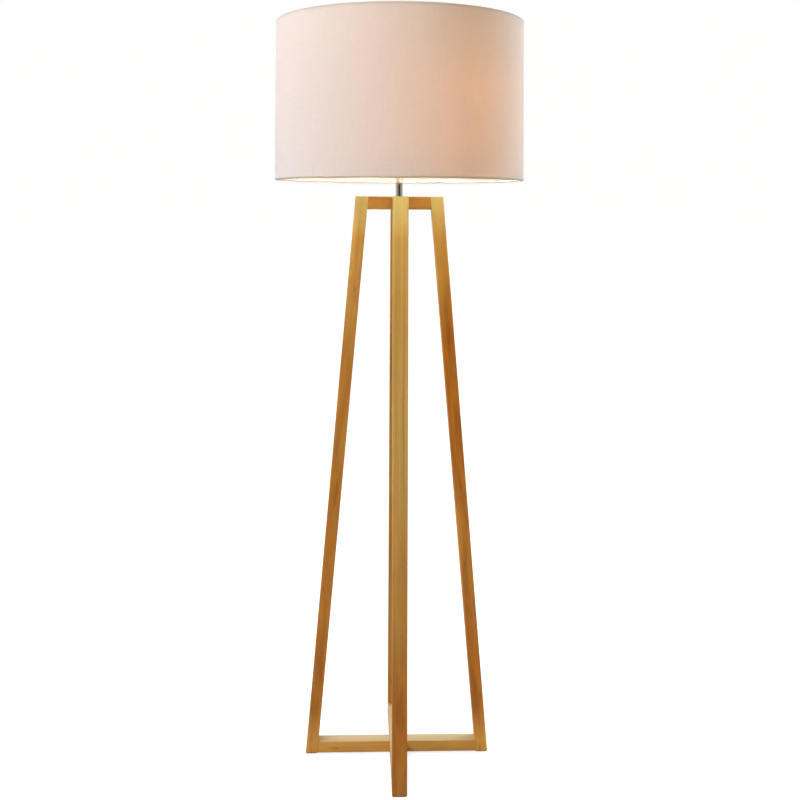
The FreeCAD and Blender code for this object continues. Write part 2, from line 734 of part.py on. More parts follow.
def lamp_parts():
    """Every piece of the lamp by the name of its node."""
    right_leg = leg()
    parts = {
        "leg_right": right_leg,
        "leg_back": about_z(right_leg, 90),
        "leg_left": about_z(right_leg, 180),
        "leg_front": about_z(right_leg, 270),
        "top_rail_side": top_rail(notch_above=True),
        "top_rail_depth": about_z(top_rail(notch_above=False), 90),
        "bottom_rail_side": bottom_rail(notch_above=True),
        "bottom_rail_depth": about_z(bottom_rail(notch_above=False), 90),
        "top_dowels": all_dowels(RAIL_TOP_Z),
        "bottom_dowels": all_dowels(PAD_THICKNESS),
        "floor_pads": floor_pads(),
        "bottom_cross_screw": bottom_cross_screw(0).cut(cross_recess(PAD_THICKNESS)),
    }
    for make in (
        threaded_tube,
        tube_washer,
        tube_nut,
        cable_outlet_bush,
        post_sleeve,
        holder_cap,
        holder_skirt,
        terminal_screws,
        holder_insert,
        socket_shell,
        centre_contact,
        switch_body,
        switch_spindle,
        switch_knob,
        shade_fabric,
        shade_top_hem,
        shade_bottom_hem,
        shade_liner,
        shade_top_ring,
        shade_bottom_ring,
        shade_spokes,
        shade_centre_ring,
        shade_ring_nut,
        bulb_contact_tip,
        bulb_cap_insulator,
        bulb_screw_cap,
        bulb_dome,
        bulb_housing,
        led_board,
        led_chips,
    ):
        parts[make.__name__] = make()
    parts["holder_grub_screw"] = grub_screw(0)
    return parts


os.makedirs("parts", exist_ok=True)
for name, shape in lamp_parts().items():
    shape.exportStep(os.path.join("parts", name + ".step"))
    print(f"{name}: valid {shape.isValid()}, solids {len(shape.Solids)}, volume {shape.Volume:.0f} mm3")
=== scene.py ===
import math
import random
from typing import NamedTuple

import bmesh
import bpy
from mathutils import Matrix, Vector, noise


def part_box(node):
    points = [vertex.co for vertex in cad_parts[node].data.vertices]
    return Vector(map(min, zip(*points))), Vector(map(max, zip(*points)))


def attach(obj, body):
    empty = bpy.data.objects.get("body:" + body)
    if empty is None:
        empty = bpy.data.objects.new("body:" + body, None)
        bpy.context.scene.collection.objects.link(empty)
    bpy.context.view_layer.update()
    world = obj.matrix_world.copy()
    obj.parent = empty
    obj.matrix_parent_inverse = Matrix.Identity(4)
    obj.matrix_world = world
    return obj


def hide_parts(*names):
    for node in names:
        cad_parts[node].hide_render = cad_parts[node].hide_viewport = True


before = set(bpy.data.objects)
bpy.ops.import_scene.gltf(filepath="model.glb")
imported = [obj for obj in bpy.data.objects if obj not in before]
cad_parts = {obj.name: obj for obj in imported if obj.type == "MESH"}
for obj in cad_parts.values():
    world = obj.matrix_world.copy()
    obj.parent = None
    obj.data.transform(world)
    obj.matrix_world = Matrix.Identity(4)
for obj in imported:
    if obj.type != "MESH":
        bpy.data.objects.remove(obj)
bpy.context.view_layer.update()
random.seed(4)


# ---------------------------------------------------------------- sizes, in metres
def corners(node):
    """A CAD node's lowest and highest corner as vectors."""
    low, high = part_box(node)
    return Vector(low), Vector(high)


# Read from the frame
SHADE_LOW, SHADE_HIGH = corners("shade_fabric")
SHADE_BOTTOM = SHADE_LOW.z
SHADE_TOP = SHADE_HIGH.z
SHADE_BOTTOM_RADIUS = SHADE_HIGH.x
TOP_RING_LOW, TOP_RING_HIGH = corners("shade_top_ring")
WIRE_RADIUS = (TOP_RING_HIGH.z - TOP_RING_LOW.z) / 2
BULB_HIGH = corners("bulb_dome")[1]
BULB_RADIUS = BULB_HIGH.x
BULB_CENTRE = BULB_HIGH.z - BULB_RADIUS
LEG_TOP = corners("leg_front")[1].z

# Layers of the shade, from its outer face inwards
CLOTH = 0.0006
LINER = 0.0005
LAYER_GAP = 0.00005
SHADE_TOP_RADIUS = TOP_RING_HIGH.x + CLOTH + LINER + 3 * LAYER_GAP

# The cloth's woven thread
THREAD_PITCH = 0.00062
THREAD_WANDER = 3.0            # how far a thread strays, in radians of the weave's wave

# The hems, where the cloth turns round a wire
HEM_HEIGHT = WIRE_RADIUS + CLOTH
HEM_WIDTH = 2 * WIRE_RADIUS + 2 * CLOTH + LINER + 4 * LAYER_GAP
HEM_SWELL = 0.00040            # how far the cloth stands out over the wire
HEM_SWELL_DEPTH = 0.0065       # how far from the shade's end that reaches
HEM_SWELL_RISE = 2.2
# Along the cloth from its hidden edge: where the painted shade along each hem starts to fade and where it
# ends
HEM_SHADE_START = 0.0078
HEM_SHADE_END = 0.0092
HEM_SHADE = 0.75               # how dark it is

# The lapped seam, at the back
SEAM_ANGLE = math.pi / 2
SEAM_WIDTH = 0.012
SEAM_STEP = 0.0006             # how far its cut edge stands out
SEAM_EDGE = 0.0004             # how wide that edge's slope is
SEAM_FALL = 0.6                # under 1, the lap falls off late

# The cloth's small unevenness: its depth, and its noise's scale round the shade and up it
RIPPLE_BROAD = 0.00018
RIPPLE_BROAD_SCALES = (3, 6)
RIPPLE_FINE = 0.00005
RIPPLE_FINE_SCALES = (38, 30)
RIPPLE_HEM_DEPTH = 0.012       # how far from the shade's end the fine part reaches

# How finely the cloth's mesh is divided
TURN_STEPS = 288
WALL_STEPS = 44
HEM_TURN_STEPS = 8
STEPS_BESIDE_HEM = (0.0008, 0.0018, 0.0028, 0.0038, 0.0050)
STEPS_BESIDE_SEAM = (-0.0006, -0.0003, 0.0, 0.0006, 0.0015, 0.003)

# Widths and lengths in the wood
RING_WIDTH = 0.0031
RING_SWAY_ACROSS = 0.012
RING_SWAY_DEEP = 0.006
# A leg's head and foot are paler with painted light: light falling from the shade onto the head, and light
# thrown up from the floor onto the foot
LIT_HEAD_LENGTH = 0.080            # the paler head of a leg
LIT_FOOT_LENGTH = 0.105            # the paler foot of a leg
FOOT_LIT_BELOW = 0.025        # where the foot is palest
# How far each board lies from the heart of its log, each way, and how much that varies
HEART_DISTANCE = (0.05, 0.03)
HEART_SPREAD = 0.05
LOG_LENGTH = 3.0


# ---------------------------------------------------------------- nodes
class Nodes:
    """A node tree, with short calls that add its nodes and join them."""

    def __init__(self, tree):
        self.tree = tree

    def put(self, socket, value):
        """Sets a socket to a value or joins it to another socket. A colour is given without its alpha."""
        if isinstance(value, bpy.types.NodeSocket):
            self.tree.links.new(value, socket)
        elif socket.type == "RGBA":
            socket.default_value = (*value, 1)
        else:
            socket.default_value = value

    def add(self, kind, inputs=None, **settings):
        """A new shader node with its settings and inputs."""
        node = self.tree.nodes.new("ShaderNode" + kind)
        for name, value in settings.items():
            setattr(node, name, value)
        for name, value in (inputs or {}).items():
            self.put(node.inputs[name], value)
        return node

    def math(self, operation, first, second=0.0):
        """The result of one sum."""
        return self.add("Math", {0: first, 1: second}, operation=operation).outputs[0]

    def split(self, vector):
        """A vector's X, Y and Z."""
        return self.add("SeparateXYZ", {0: vector}).outputs

    def place(self, turn=(0, 0, 0), shift=(0, 0, 0), source="Object"):
        """Coordinates of the piece, turned and shifted."""
        coordinates = self.add("TexCoord").outputs[source]
        return self.add("Mapping", {"Vector": coordinates, "Location": shift, "Rotation": turn}).outputs[0]

    def stretch(self, vector, scale):
        """Coordinates scaled along each axis."""
        return self.add("Mapping", {"Vector": vector, "Scale": scale}).outputs[0]

    def noise(self, vector, scale=1.0, detail=3.0, roughness=0.5, distortion=0.0):
        """Noise from 0 to 1."""
        inputs = {
            "Vector": vector,
            "Scale": scale,
            "Detail": detail,
            "Roughness": roughness,
            "Distortion": distortion,
        }
        return self.add("TexNoise", inputs).outputs["Fac"]

    def ramp(self, value, stops, ease="LINEAR"):
        """A colour ramp with (position, colour) stops."""
        node = self.add("ValToRGB", {"Fac": value})
        node.color_ramp.interpolation = ease
        elements = node.color_ramp.elements
        while len(elements) < len(stops):
            elements.new(0.5)
        for element, (position, colour) in zip(elements, stops):
            element.position = position
            element.color = (*colour, 1)
        return node.outputs["Color"]

    def span(self, value, low, high, out_low=0.0, out_high=1.0):
        """A value moved from one range to another and held inside it."""
        inputs = {
            "Value": value,
            "From Min": low,
            "From Max": high,
            "To Min": out_low,
            "To Max": out_high,
        }
        return self.add("MapRange", inputs).outputs["Result"]

    def mix(self, share, first, second):
        """Two colours mixed."""
        return self.add("Mix", {0: share, 6: first, 7: second}, data_type="RGBA").outputs[2]

    def bump(self, height, distance, strength):
        """A bumped normal."""
        return self.add("Bump", {"Height": height, "Distance": distance, "Strength": strength}).outputs[0]

    def mix_shaders(self, share, first, second):
        """Two shaders mixed."""
        return self.add("MixShader", {0: share, 1: first, 2: second}).outputs[0]


class Material(Nodes):
    """A material with one main shader."""

    def __init__(self, name):
        self.material = bpy.data.materials.new(name)
        self.material.use_nodes = True
        super().__init__(self.material.node_tree)
        self.main = self.tree.nodes["Principled BSDF"]

    def set(self, **inputs):
        """Sets inputs of the main shader, written with _ for a space."""
        for name, value in inputs.items():
            self.put(self.main.inputs[name.replace("_", " ")], value)

    def show(self, shader):
        """Makes a shader the surface, in place of the main one alone."""
        self.put(self.tree.nodes["Material Output"].inputs["Surface"], shader)


def lightened(colour, factor):
    """A colour made lighter or darker."""
    return tuple(min(part * factor, 1.0) for part in colour)


# ---------------------------------------------------------------- wood
class Board(NamedTuple):
    """How one board looks."""

    # Between `high` and `low` the colour deepens with painted shade, darker towards the floor
    deep_low: float            # how deep its colour is below the height `low`
    deep_high: float           # how deep it is above the height `high`
    low: float = 0.0
    high: float = 1.0
    light: float = 1.0         # how light the board is as a whole
    # painted light at a leg's head and at its foot
    head_painted_light: float = 0.0
    foot_painted_light: float = 0.0


# For the legs, the deepening from deep_high down to deep_low is painted shade, darker towards the floor, and
# the paler head and foot are painted light. leg_right's lightness of 1.18 is painted light on that leg.
BOARDS = {
    "leg_front": Board(0.95, 0.10, 0.12, 0.74, 0.91, head_painted_light=1.0),
    "leg_left": Board(0.96, 0.30, 0.84, 1.11, 1.00, head_painted_light=0.75, foot_painted_light=0.85),
    "leg_right": Board(0.98, 0.22, 0.86, 1.10, 1.18, head_painted_light=1.0, foot_painted_light=1.0),
    "leg_back": Board(0.70, 0.35, 0.30, 1.10, 0.95, head_painted_light=0.6, foot_painted_light=0.5),
    "top_rail_side": Board(0.50, 0.50, light=1.02),
    "top_rail_depth": Board(0.40, 0.40),
    "bottom_rail_side": Board(0.46, 0.46, light=1.26),
    "bottom_rail_depth": Board(0.35, 0.35),
}
PLAIN_BOARD = Board(0.0, 0.0)

# The grain's patterns: how fine each noise is per metre across the board, both ways, and along it
SWAY_SCALE = (9, 9, 1.6)
PATCH_SCALE = (16, 16, 2.6)
BROAD_SCALE = (26, 26, 1.1)
FIGURE_SCALE = (70, 70, 7)
FLECK_SCALE = (120, 120, 13)
STREAK_SCALE = (150, 150, 2.2)
FIBRE_SCALE = (1300, 1300, 30)
PORE_SCALE = (1900, 1900, 62)

# Oak's colours: its streaks where it is light, then its finer detail
OAK_STREAKS = [
    (0.28, (0.430, 0.228, 0.050)),
    (0.50, (0.610, 0.365, 0.092)),
    (0.74, (0.750, 0.490, 0.148)),
]
OAK_BROAD = (0.680, 0.425, 0.090)
OAK_LATE_WOOD = (0.420, 0.200, 0.030)
OAK_PORE = (0.200, 0.080, 0.014)
OAK_FIBRE = (0.720, 0.430, 0.120)
OAK_FLECK = (0.260, 0.085, 0.010)
# Deep colour for random patches and for painted shade that darkens a leg towards the floor; painted light
# that makes a leg's head and foot paler; and painted light that makes the faces that look up paler and greyer
OAK_DEEP = ((0.270, 0.078, 0.004), (0.520, 0.185, 0.014))
OAK_HEAD_LIT = ((0.620, 0.500, 0.155), (0.880, 0.770, 0.275))
OAK_FOOT_LIT = ((0.520, 0.210, 0.030), (0.800, 0.400, 0.080))
OAK_UP_LIT = ((0.320, 0.215, 0.108), (0.500, 0.400, 0.230))
# Lightness across one growth ring, from its pores to its late wood
RING_LIGHTNESS = [(0.0, 0.25), (0.18, 0.55), (0.8, 1.0), (1.0, 0.3)]


def board_turns():
    """Turns that lay each board's grain along its texture's Z axis."""
    lower = corners("bottom_rail_side")
    upper = corners("top_rail_side")
    slant = math.atan2(lower[1].x - upper[1].x, upper[0].z - lower[0].z)
    quarter = math.pi / 2
    return {
        "leg_right": (0, slant, 0),
        "leg_left": (0, -slant, 0),
        "leg_front": (slant, 0, 0),
        "leg_back": (-slant, 0, 0),
        "top_rail_side": (0, -quarter, 0),
        "bottom_rail_side": (0, -quarter, 0),
        "top_rail_depth": (quarter, 0, 0),
        "bottom_rail_depth": (quarter, 0, 0),
    }


def growth_rings(m, along):
    """How far across its growth ring a point lies, from 0 to 1."""
    sway = m.noise(m.stretch(along, SWAY_SCALE), detail=2)
    parts = m.split(along)
    across = m.math("ADD", parts[0], m.math("MULTIPLY", sway, RING_SWAY_ACROSS))
    deep = m.math("ADD", parts[1], m.math("MULTIPLY", sway, RING_SWAY_DEEP))
    square = m.math("ADD", m.math("MULTIPLY", across, across), m.math("MULTIPLY", deep, deep))
    return m.math("FRACT", m.math("DIVIDE", m.math("SQRT", square), RING_WIDTH))


def deepen(m, tone, along, streaks, board):
    """The board's colour with random deep patches, painted shade that deepens it towards the floor, and
    painted light that makes a leg's ends paler, by height.
    """
    height = m.split(m.place())[2]
    patches = m.span(m.noise(m.stretch(along, PATCH_SCALE), detail=2), 0.35, 0.7, -0.16, 0.20)
    # Painted shade: a leg darker towards the floor
    shade_by_height = m.span(height, board.low, board.high, board.deep_low, board.deep_high)
    figure = m.span(m.noise(m.stretch(along, FIGURE_SCALE), detail=3, distortion=0.6), 0.36, 0.66)
    deep_share = m.math("MULTIPLY", m.math("ADD", streaks, figure), 0.62)
    deep_tone = m.mix(deep_share, *(lightened(colour, board.light) for colour in OAK_DEEP))
    tone = m.mix(m.math("MINIMUM", m.math("ADD", shade_by_height, patches), 1.0), tone, deep_tone)

    # Painted light: the head paler where light falls from the shade, the foot paler where the floor throws
    # light up
    head = m.span(height, LEG_TOP - LIT_HEAD_LENGTH, LEG_TOP, 0.0, board.head_painted_light)
    tone = m.mix(head, tone, m.mix(streaks, *OAK_HEAD_LIT))
    foot = m.span(height, FOOT_LIT_BELOW, LIT_FOOT_LENGTH, board.foot_painted_light, 0.0)
    foot_lit_tone = m.mix(streaks, *(lightened(colour, board.light) for colour in OAK_FOOT_LIT))
    return m.mix(foot, tone, foot_lit_tone)


def oak(name, turn, shift, board):
    """Lacquered oak along one board, with straight grain, growth rings, pores, its own depth of colour,
    painted shade towards the floor, and painted light on a leg's ends and on faces that look up.
    """
    m = Material("oak_" + name)
    along = m.place(turn=turn, shift=shift)
    ring = growth_rings(m, along)
    early = m.ramp(ring, [(position, (level,) * 3) for position, level in RING_LIGHTNESS], "EASE")
    streaks = m.noise(m.stretch(along, STREAK_SCALE), detail=5, roughness=0.62)
    broad = m.noise(m.stretch(along, BROAD_SCALE), detail=3)
    fibres = m.noise(m.stretch(along, FIBRE_SCALE), detail=3, roughness=0.65)
    pores = m.span(m.noise(m.stretch(along, PORE_SCALE), detail=2), 0.60, 0.70)
    pores = m.math("MULTIPLY", pores, m.span(ring, 0.42, 0.05, 0.25, 1.0))
    late = m.math("MULTIPLY", m.span(early, 0.25, 1.0, 1.0, 0.0), 0.34)

    tone = m.ramp(streaks, [(position, lightened(colour, board.light)) for position, colour in OAK_STREAKS])
    tone = m.mix(m.span(broad, 0.35, 0.68, 0.0, 0.40), tone, lightened(OAK_BROAD, board.light))
    tone = m.mix(late, tone, lightened(OAK_LATE_WOOD, board.light))
    tone = m.mix(m.math("MULTIPLY", pores, 0.55), tone, lightened(OAK_PORE, board.light))
    tone = m.mix(m.span(fibres, 0.35, 0.75, 0.0, 0.16), tone, lightened(OAK_FIBRE, board.light))
    tone = deepen(m, tone, along, streaks, board)
    flecks = m.noise(m.stretch(along, FLECK_SCALE), detail=2, distortion=0.4)
    tone = m.mix(m.span(flecks, 0.66, 0.74, 0.0, 0.55), tone, lightened(OAK_FLECK, board.light))
    # Painted light: faces that look up are mixed towards a paler, greyer tone, as where the light from above
    # falls on them
    upward = m.split(m.add("NewGeometry").outputs["Normal"])[2]
    tone = m.mix(m.span(upward, 0.70, 0.95, 0.0, 0.85), tone, m.mix(streaks, *OAK_UP_LIT))

    height = m.math("SUBTRACT", m.math("MULTIPLY", fibres, 0.35), m.math("MULTIPLY", pores, 0.9))
    height = m.math("ADD", height, m.math("MULTIPLY", early, 0.12))
    m.set(
        Base_Color=tone,
        Roughness=m.span(fibres, 0.2, 0.8, 0.36, 0.54),
        Normal=m.bump(height, 0.00022, 0.75),
        Specular_IOR_Level=0.26,
        Coat_Weight=0.07,
        Coat_Roughness=0.20,
    )
    return m.material


# ---------------------------------------------------------------- metal, plastic, felt and ceramic
def brushed(name, colour):
    """Turned or plated steel with fine tool marks."""
    m = Material(name)
    marks = m.noise(m.stretch(m.place(), (60, 60, 3600)), detail=4)
    cloud = m.noise(m.place(), scale=90, detail=2)
    m.set(
        Base_Color=m.mix(m.span(cloud, 0.3, 0.75, 0.0, 0.6), colour, lightened(colour, 0.72)),
        Metallic=1.0,
        Roughness=m.span(marks, 0.3, 0.7, 0.21, 0.392),
        Normal=m.bump(marks, 0.00004, 0.5),
    )
    return m.material


def polished(name, colour, roughness=0.05):
    """Mirror-bright plating with faint wipe marks."""
    m = Material(name)
    wipe = m.noise(m.stretch(m.place(), (500, 500, 60)), detail=4)
    haze = m.noise(m.place(), scale=140, detail=3)
    m.set(
        Base_Color=m.mix(m.span(haze, 0.3, 0.7), colour, lightened(colour, 0.93)),
        Metallic=1.0,
        Roughness=m.span(wipe, 0.35, 0.75, roughness * 0.7, roughness * 2.0),
        Normal=m.bump(wipe, 0.000004, 0.4),
    )
    return m.material


def plastic(name, colour, roughness=0.32):
    """Moulded plastic with a faint spark-eroded grain."""
    m = Material(name)
    speck = m.noise(m.place(), scale=2600, detail=2)
    cloud = m.noise(m.place(), scale=55, detail=3)
    m.set(
        Base_Color=m.mix(m.span(cloud, 0.3, 0.7), colour, lightened(colour, 0.93)),
        Roughness=m.span(cloud, 0.3, 0.7, roughness * 0.85, roughness * 1.2),
        Normal=m.bump(speck, 0.00003, 0.5),
    )
    return m.material


def powder_coat(name, colour):
    """Painted wire with slight orange peel."""
    m = Material(name)
    peel = m.noise(m.place(), scale=1100, detail=2)
    cloud = m.noise(m.place(), scale=70, detail=3)
    m.set(
        Base_Color=m.mix(m.span(cloud, 0.35, 0.7), colour, lightened(colour, 0.9)),
        Roughness=m.span(peel, 0.3, 0.7, 0.30, 0.46),
        Normal=m.bump(peel, 0.00005, 0.6),
    )
    return m.material


def felt(name):
    """Pressed dark felt."""
    m = Material(name)
    fuzz = m.noise(m.place(), scale=2200, detail=6, roughness=0.75)
    clump = m.noise(m.place(), scale=420, detail=3)
    tone = m.ramp(fuzz, [(0.3, (0.018, 0.014, 0.012)), (0.7, (0.075, 0.062, 0.052))])
    m.set(
        Base_Color=m.mix(m.span(clump, 0.35, 0.7, 0.0, 0.4), tone, (0.05, 0.04, 0.034)),
        Roughness=m.span(fuzz, 0.3, 0.7, 0.88, 1.0),
        Normal=m.bump(fuzz, 0.0003, 0.9),
        Sheen_Weight=0.4,
        Sheen_Roughness=0.5,
    )
    return m.material


def ceramic(name):
    """Unglazed steatite with fine specks."""
    m = Material(name)
    speck = m.noise(m.place(), scale=900, detail=4)
    cloud = m.noise(m.place(), scale=120, detail=2)
    tone = m.ramp(speck, [(0.28, (0.62, 0.57, 0.48)), (0.45, (0.80, 0.77, 0.70))])
    m.set(
        Base_Color=m.mix(m.span(cloud, 0.3, 0.7, 0.0, 0.4), tone, (0.84, 0.81, 0.74)),
        Roughness=m.span(speck, 0.3, 0.7, 0.55, 0.75),
        Normal=m.bump(speck, 0.00005, 0.6),
    )
    return m.material


# ---------------------------------------------------------------- shade and bulb
CLOTH_LETS_THROUGH = 0.42      # the share of light that shines through
LINER_LETS_THROUGH = 0.6
BULB_STRENGTH = 380.0


def weave_height(m, cloth):
    """Height of a plain weave with uneven threads, from the cloth's own length and height in metres."""
    wander = m.noise(m.stretch(cloth, (260, 260, 1)), detail=2)
    stray = m.math("MULTIPLY", wander, THREAD_WANDER)
    turns = 2 * math.pi / THREAD_PITCH
    parts = m.split(cloth)
    along = m.math("ADD", m.math("MULTIPLY", parts[0], turns), stray)
    up = m.math("ADD", m.math("MULTIPLY", parts[1], turns), stray)
    warp = m.math("ABSOLUTE", m.math("SINE", m.math("MULTIPLY", along, 0.5)))
    weft = m.math("ABSOLUTE", m.math("SINE", m.math("MULTIPLY", up, 0.5)))
    over = m.math("GREATER_THAN", m.math("MULTIPLY", m.math("SINE", along), m.math("SINE", up)), 0.0)
    return m.add("Mix", {0: over, 2: warp, 3: weft}, data_type="FLOAT").outputs[0]


def painted_hem_shade(m, cloth):
    """How much painted shade lies along the hems at a place on the cloth's outer or inner face."""
    length = line_length(cloth_line())
    along = m.math("PINGPONG", m.split(cloth)[1], length)
    from_edge = m.math("MINIMUM", along, m.math("SUBTRACT", length, along))
    return m.span(from_edge, HEM_SHADE_START, HEM_SHADE_END, HEM_SHADE, 0.0)


def shade_cloth(name):
    """The shade's woven cover, which the bulb shines through."""
    m = Material(name)
    cloth = m.place(source="UV")
    weave = weave_height(m, cloth)
    slub_up = m.noise(m.stretch(cloth, (1500, 26, 1)), detail=3, roughness=0.6)
    slub_along = m.noise(m.stretch(cloth, (22, 1500, 1)), detail=3, roughness=0.6)
    slubs = m.math("MULTIPLY", m.math("ADD", slub_up, slub_along), 0.5)
    cloud = m.noise(m.stretch(cloth, (7, 5, 1)), detail=3)
    lit = m.ramp(slubs, [(0.36, (0.730, 0.715, 0.710)), (0.62, (0.820, 0.805, 0.800))])
    lit = m.mix(m.span(cloud, 0.3, 0.7, 0.0, 0.25), lit, (0.790, 0.770, 0.760))
    # Painted shade along both hems, darker than the cloth itself
    lit = m.mix(painted_hem_shade(m, cloth), lit, (0.560, 0.520, 0.490))
    passed = m.ramp(slubs, [(0.36, (0.930, 0.690, 0.420)), (0.62, (0.970, 0.755, 0.510))])
    passed = m.mix(m.span(weave, 0.15, 0.9, 0.0, 0.22), passed, (1.0, 0.86, 0.70))
    bumped = m.bump(m.math("ADD", weave, m.math("MULTIPLY", slubs, 1.4)), 0.00012, 0.55)
    m.set(
        Base_Color=lit,
        Roughness=m.span(weave, 0.1, 0.9, 0.94, 0.80),
        Normal=bumped,
        Sheen_Weight=0.12,
        Sheen_Roughness=0.45,
    )
    glow = m.add("BsdfTranslucent", {"Color": passed, "Normal": bumped})
    m.show(m.mix_shaders(CLOTH_LETS_THROUGH, m.main.outputs[0], glow.outputs[0]))
    return m.material


def liner_sheet(name):
    """The white backing sheet, satin on its inner face."""
    m = Material(name)
    cloud = m.noise(m.place(), scale=14, detail=3)
    peel = m.noise(m.place(), scale=700, detail=3)
    m.set(
        Base_Color=m.mix(m.span(cloud, 0.3, 0.7), (0.90, 0.88, 0.84), (0.86, 0.835, 0.79)),
        Roughness=m.span(peel, 0.3, 0.7, 0.30, 0.42),
        Normal=m.bump(peel, 0.00004, 0.4),
    )
    glow = m.add("BsdfTranslucent", {"Color": (0.96, 0.90, 0.82)})
    m.show(m.mix_shaders(LINER_LETS_THROUGH, m.main.outputs[0], glow.outputs[0]))
    return m.material


def bulb_opal(name):
    """The glowing opal dome."""
    m = Material(name)
    cloud = m.noise(m.place(), scale=60, detail=2)
    frost = m.noise(m.place(), scale=3000, detail=2)
    m.set(
        Base_Color=m.mix(m.span(cloud, 0.3, 0.7), (0.92, 0.90, 0.86), (0.88, 0.86, 0.81)),
        Roughness=m.span(frost, 0.3, 0.7, 0.24, 0.36),
        Normal=m.bump(frost, 0.00002, 0.4),
        Emission_Color=(1.0, 0.87, 0.72),
        Emission_Strength=BULB_STRENGTH,
    )
    return m.material


def phosphor(name):
    """The yellow phosphor of the light-emitting chips."""
    m = Material(name)
    grains = m.noise(m.place(), scale=1800, detail=3)
    m.set(
        Base_Color=m.ramp(grains, [(0.3, (0.78, 0.52, 0.08)), (0.7, (0.92, 0.70, 0.18))]),
        Roughness=m.span(grains, 0.3, 0.7, 0.35, 0.55),
        Normal=m.bump(grains, 0.00003, 0.5),
    )
    return m.material


# ---------------------------------------------------------------- the shade's cloth
def new_object(name, data):
    """An object that holds some data, put in the scene."""
    made = bpy.data.objects.new(name, data)
    bpy.context.scene.collection.objects.link(made)
    return made


def mesh_object(name, shape, material, body, smooth_angle=35):
    """An object from a bmesh, smooth except at edges sharper than some degrees, riding on a body."""
    mesh = bpy.data.meshes.new(name)
    bmesh.ops.recalc_face_normals(shape, faces=shape.faces)
    shape.to_mesh(mesh)
    shape.free()
    piece = new_object(name, mesh)
    mesh.materials.append(material)
    mesh.shade_smooth()
    mesh.set_sharp_from_angle(angle=math.radians(smooth_angle))
    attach(piece, body)
    return piece


def turned_shape(profile, angles, place):
    """A closed surface of revolution: place(profile point, angle) gives each vertex.

    Its UV map holds the distance round the axis and the distance along the profile, in metres.
    """
    shape = bmesh.new()
    rings = []
    for angle in angles:
        rings.append([shape.verts.new(place(point, angle)) for point in profile])
    layer = shape.loops.layers.uv.new("cloth")
    along = [0.0]
    for before, after in zip(profile, profile[1:] + profile[:1]):
        along.append(along[-1] + (Vector(after) - Vector(before)).length)
    around = [angle * SHADE_BOTTOM_RADIUS for angle in angles + [angles[0] + 2 * math.pi]]
    count = len(profile)
    for turn in range(len(angles)):
        here, there = rings[turn], rings[(turn + 1) % len(angles)]
        for index in range(count):
            following = (index + 1) % count
            face = shape.faces.new((here[index], there[index], there[following], here[following]))
            coordinates = (
                (around[turn], along[index]),
                (around[turn + 1], along[index]),
                (around[turn + 1], along[index + 1]),
                (around[turn], along[index + 1]),
            )
            for loop, coordinate in zip(face.loops, coordinates):
                loop[layer].uv = coordinate
    return shape


def shade_radius(height):
    """The shade's outer radius at a height."""
    rise = (height - SHADE_BOTTOM) / (SHADE_TOP - SHADE_BOTTOM)
    return SHADE_BOTTOM_RADIUS + (SHADE_TOP_RADIUS - SHADE_BOTTOM_RADIUS) * rise


def end_distance(height):
    """How far a height is from the nearer end of the shade."""
    return min(height - SHADE_BOTTOM, SHADE_TOP - height)


def seam_lift(angle):
    """How far the overlapped cloth stands out at an angle: steep at its cut edge, then fading."""
    away = (angle - SEAM_ANGLE) * SHADE_BOTTOM_RADIUS
    if away < -SEAM_EDGE or away > SEAM_WIDTH:
        return 0.0
    if away < 0:
        return SEAM_STEP * (1 + away / SEAM_EDGE)
    return SEAM_STEP * (1 - away / SEAM_WIDTH) ** SEAM_FALL


def hem_swell(height):
    """How far the cloth stands out where it lies on the wire at each end of the shade."""
    share = max(0.0, 1 - end_distance(height) / HEM_SWELL_DEPTH)
    return HEM_SWELL * min(1.0, HEM_SWELL_RISE * share) ** 2


def wave(height, angle, scales):
    """Smooth noise on the shade at a height and an angle."""
    around, up = scales
    return noise.noise(Vector((math.cos(angle) * around, math.sin(angle) * around, height * up)))


def ripple(height, angle):
    """Small unevenness of hand-made cloth, stronger at the hems."""
    hem = max(0.0, 1 - end_distance(height) / RIPPLE_HEM_DEPTH)
    broad = RIPPLE_BROAD * wave(height, angle, RIPPLE_BROAD_SCALES)
    return broad + RIPPLE_FINE * hem * wave(height, angle, RIPPLE_FINE_SCALES)


def place_cloth(point, angle):
    """A cloth vertex with the seam, the hems' swell and the small unevenness in it."""
    reach, height = point
    radius = reach + ripple(height, angle)
    if reach > shade_radius(height) - CLOTH / 2:
        radius += seam_lift(angle) + hem_swell(height)
    return (radius * math.cos(angle), radius * math.sin(angle), height)


def shade_angles():
    """Angles round the shade, closer together at the seam."""
    plain = [2 * math.pi * index / TURN_STEPS for index in range(TURN_STEPS)]
    seam = [SEAM_ANGLE + offset / SHADE_BOTTOM_RADIUS for offset in STEPS_BESIDE_SEAM]
    return sorted(set(round(angle, 7) for angle in plain + seam))


def line_length(points):
    """Length of an outline."""
    return sum((Vector(after) - Vector(before)).length for before, after in zip(points, points[1:]))


def hem_curve(end, radius_here, upward):
    """Outline points that go round the wire at one end of the shade, from the outer to the inner face."""
    middle = radius_here - HEM_WIDTH / 2
    centre = end - upward * HEM_HEIGHT
    points = []
    for index in range(HEM_TURN_STEPS + 1):
        angle = math.pi * index / HEM_TURN_STEPS
        reach = middle + math.cos(angle) * HEM_WIDTH / 2
        points.append((reach, centre + upward * math.sin(angle) * HEM_HEIGHT))
    return points


def offset_profile(points, distance):
    """The outline moved sideways by a distance, to its left."""
    moved = []
    for index, point in enumerate(points):
        before = Vector(points[max(index - 1, 0)])
        after = Vector(points[min(index + 1, len(points) - 1)])
        way = (after - before).normalized()
        moved.append((point[0] - way.y * distance, point[1] + way.x * distance))
    return moved


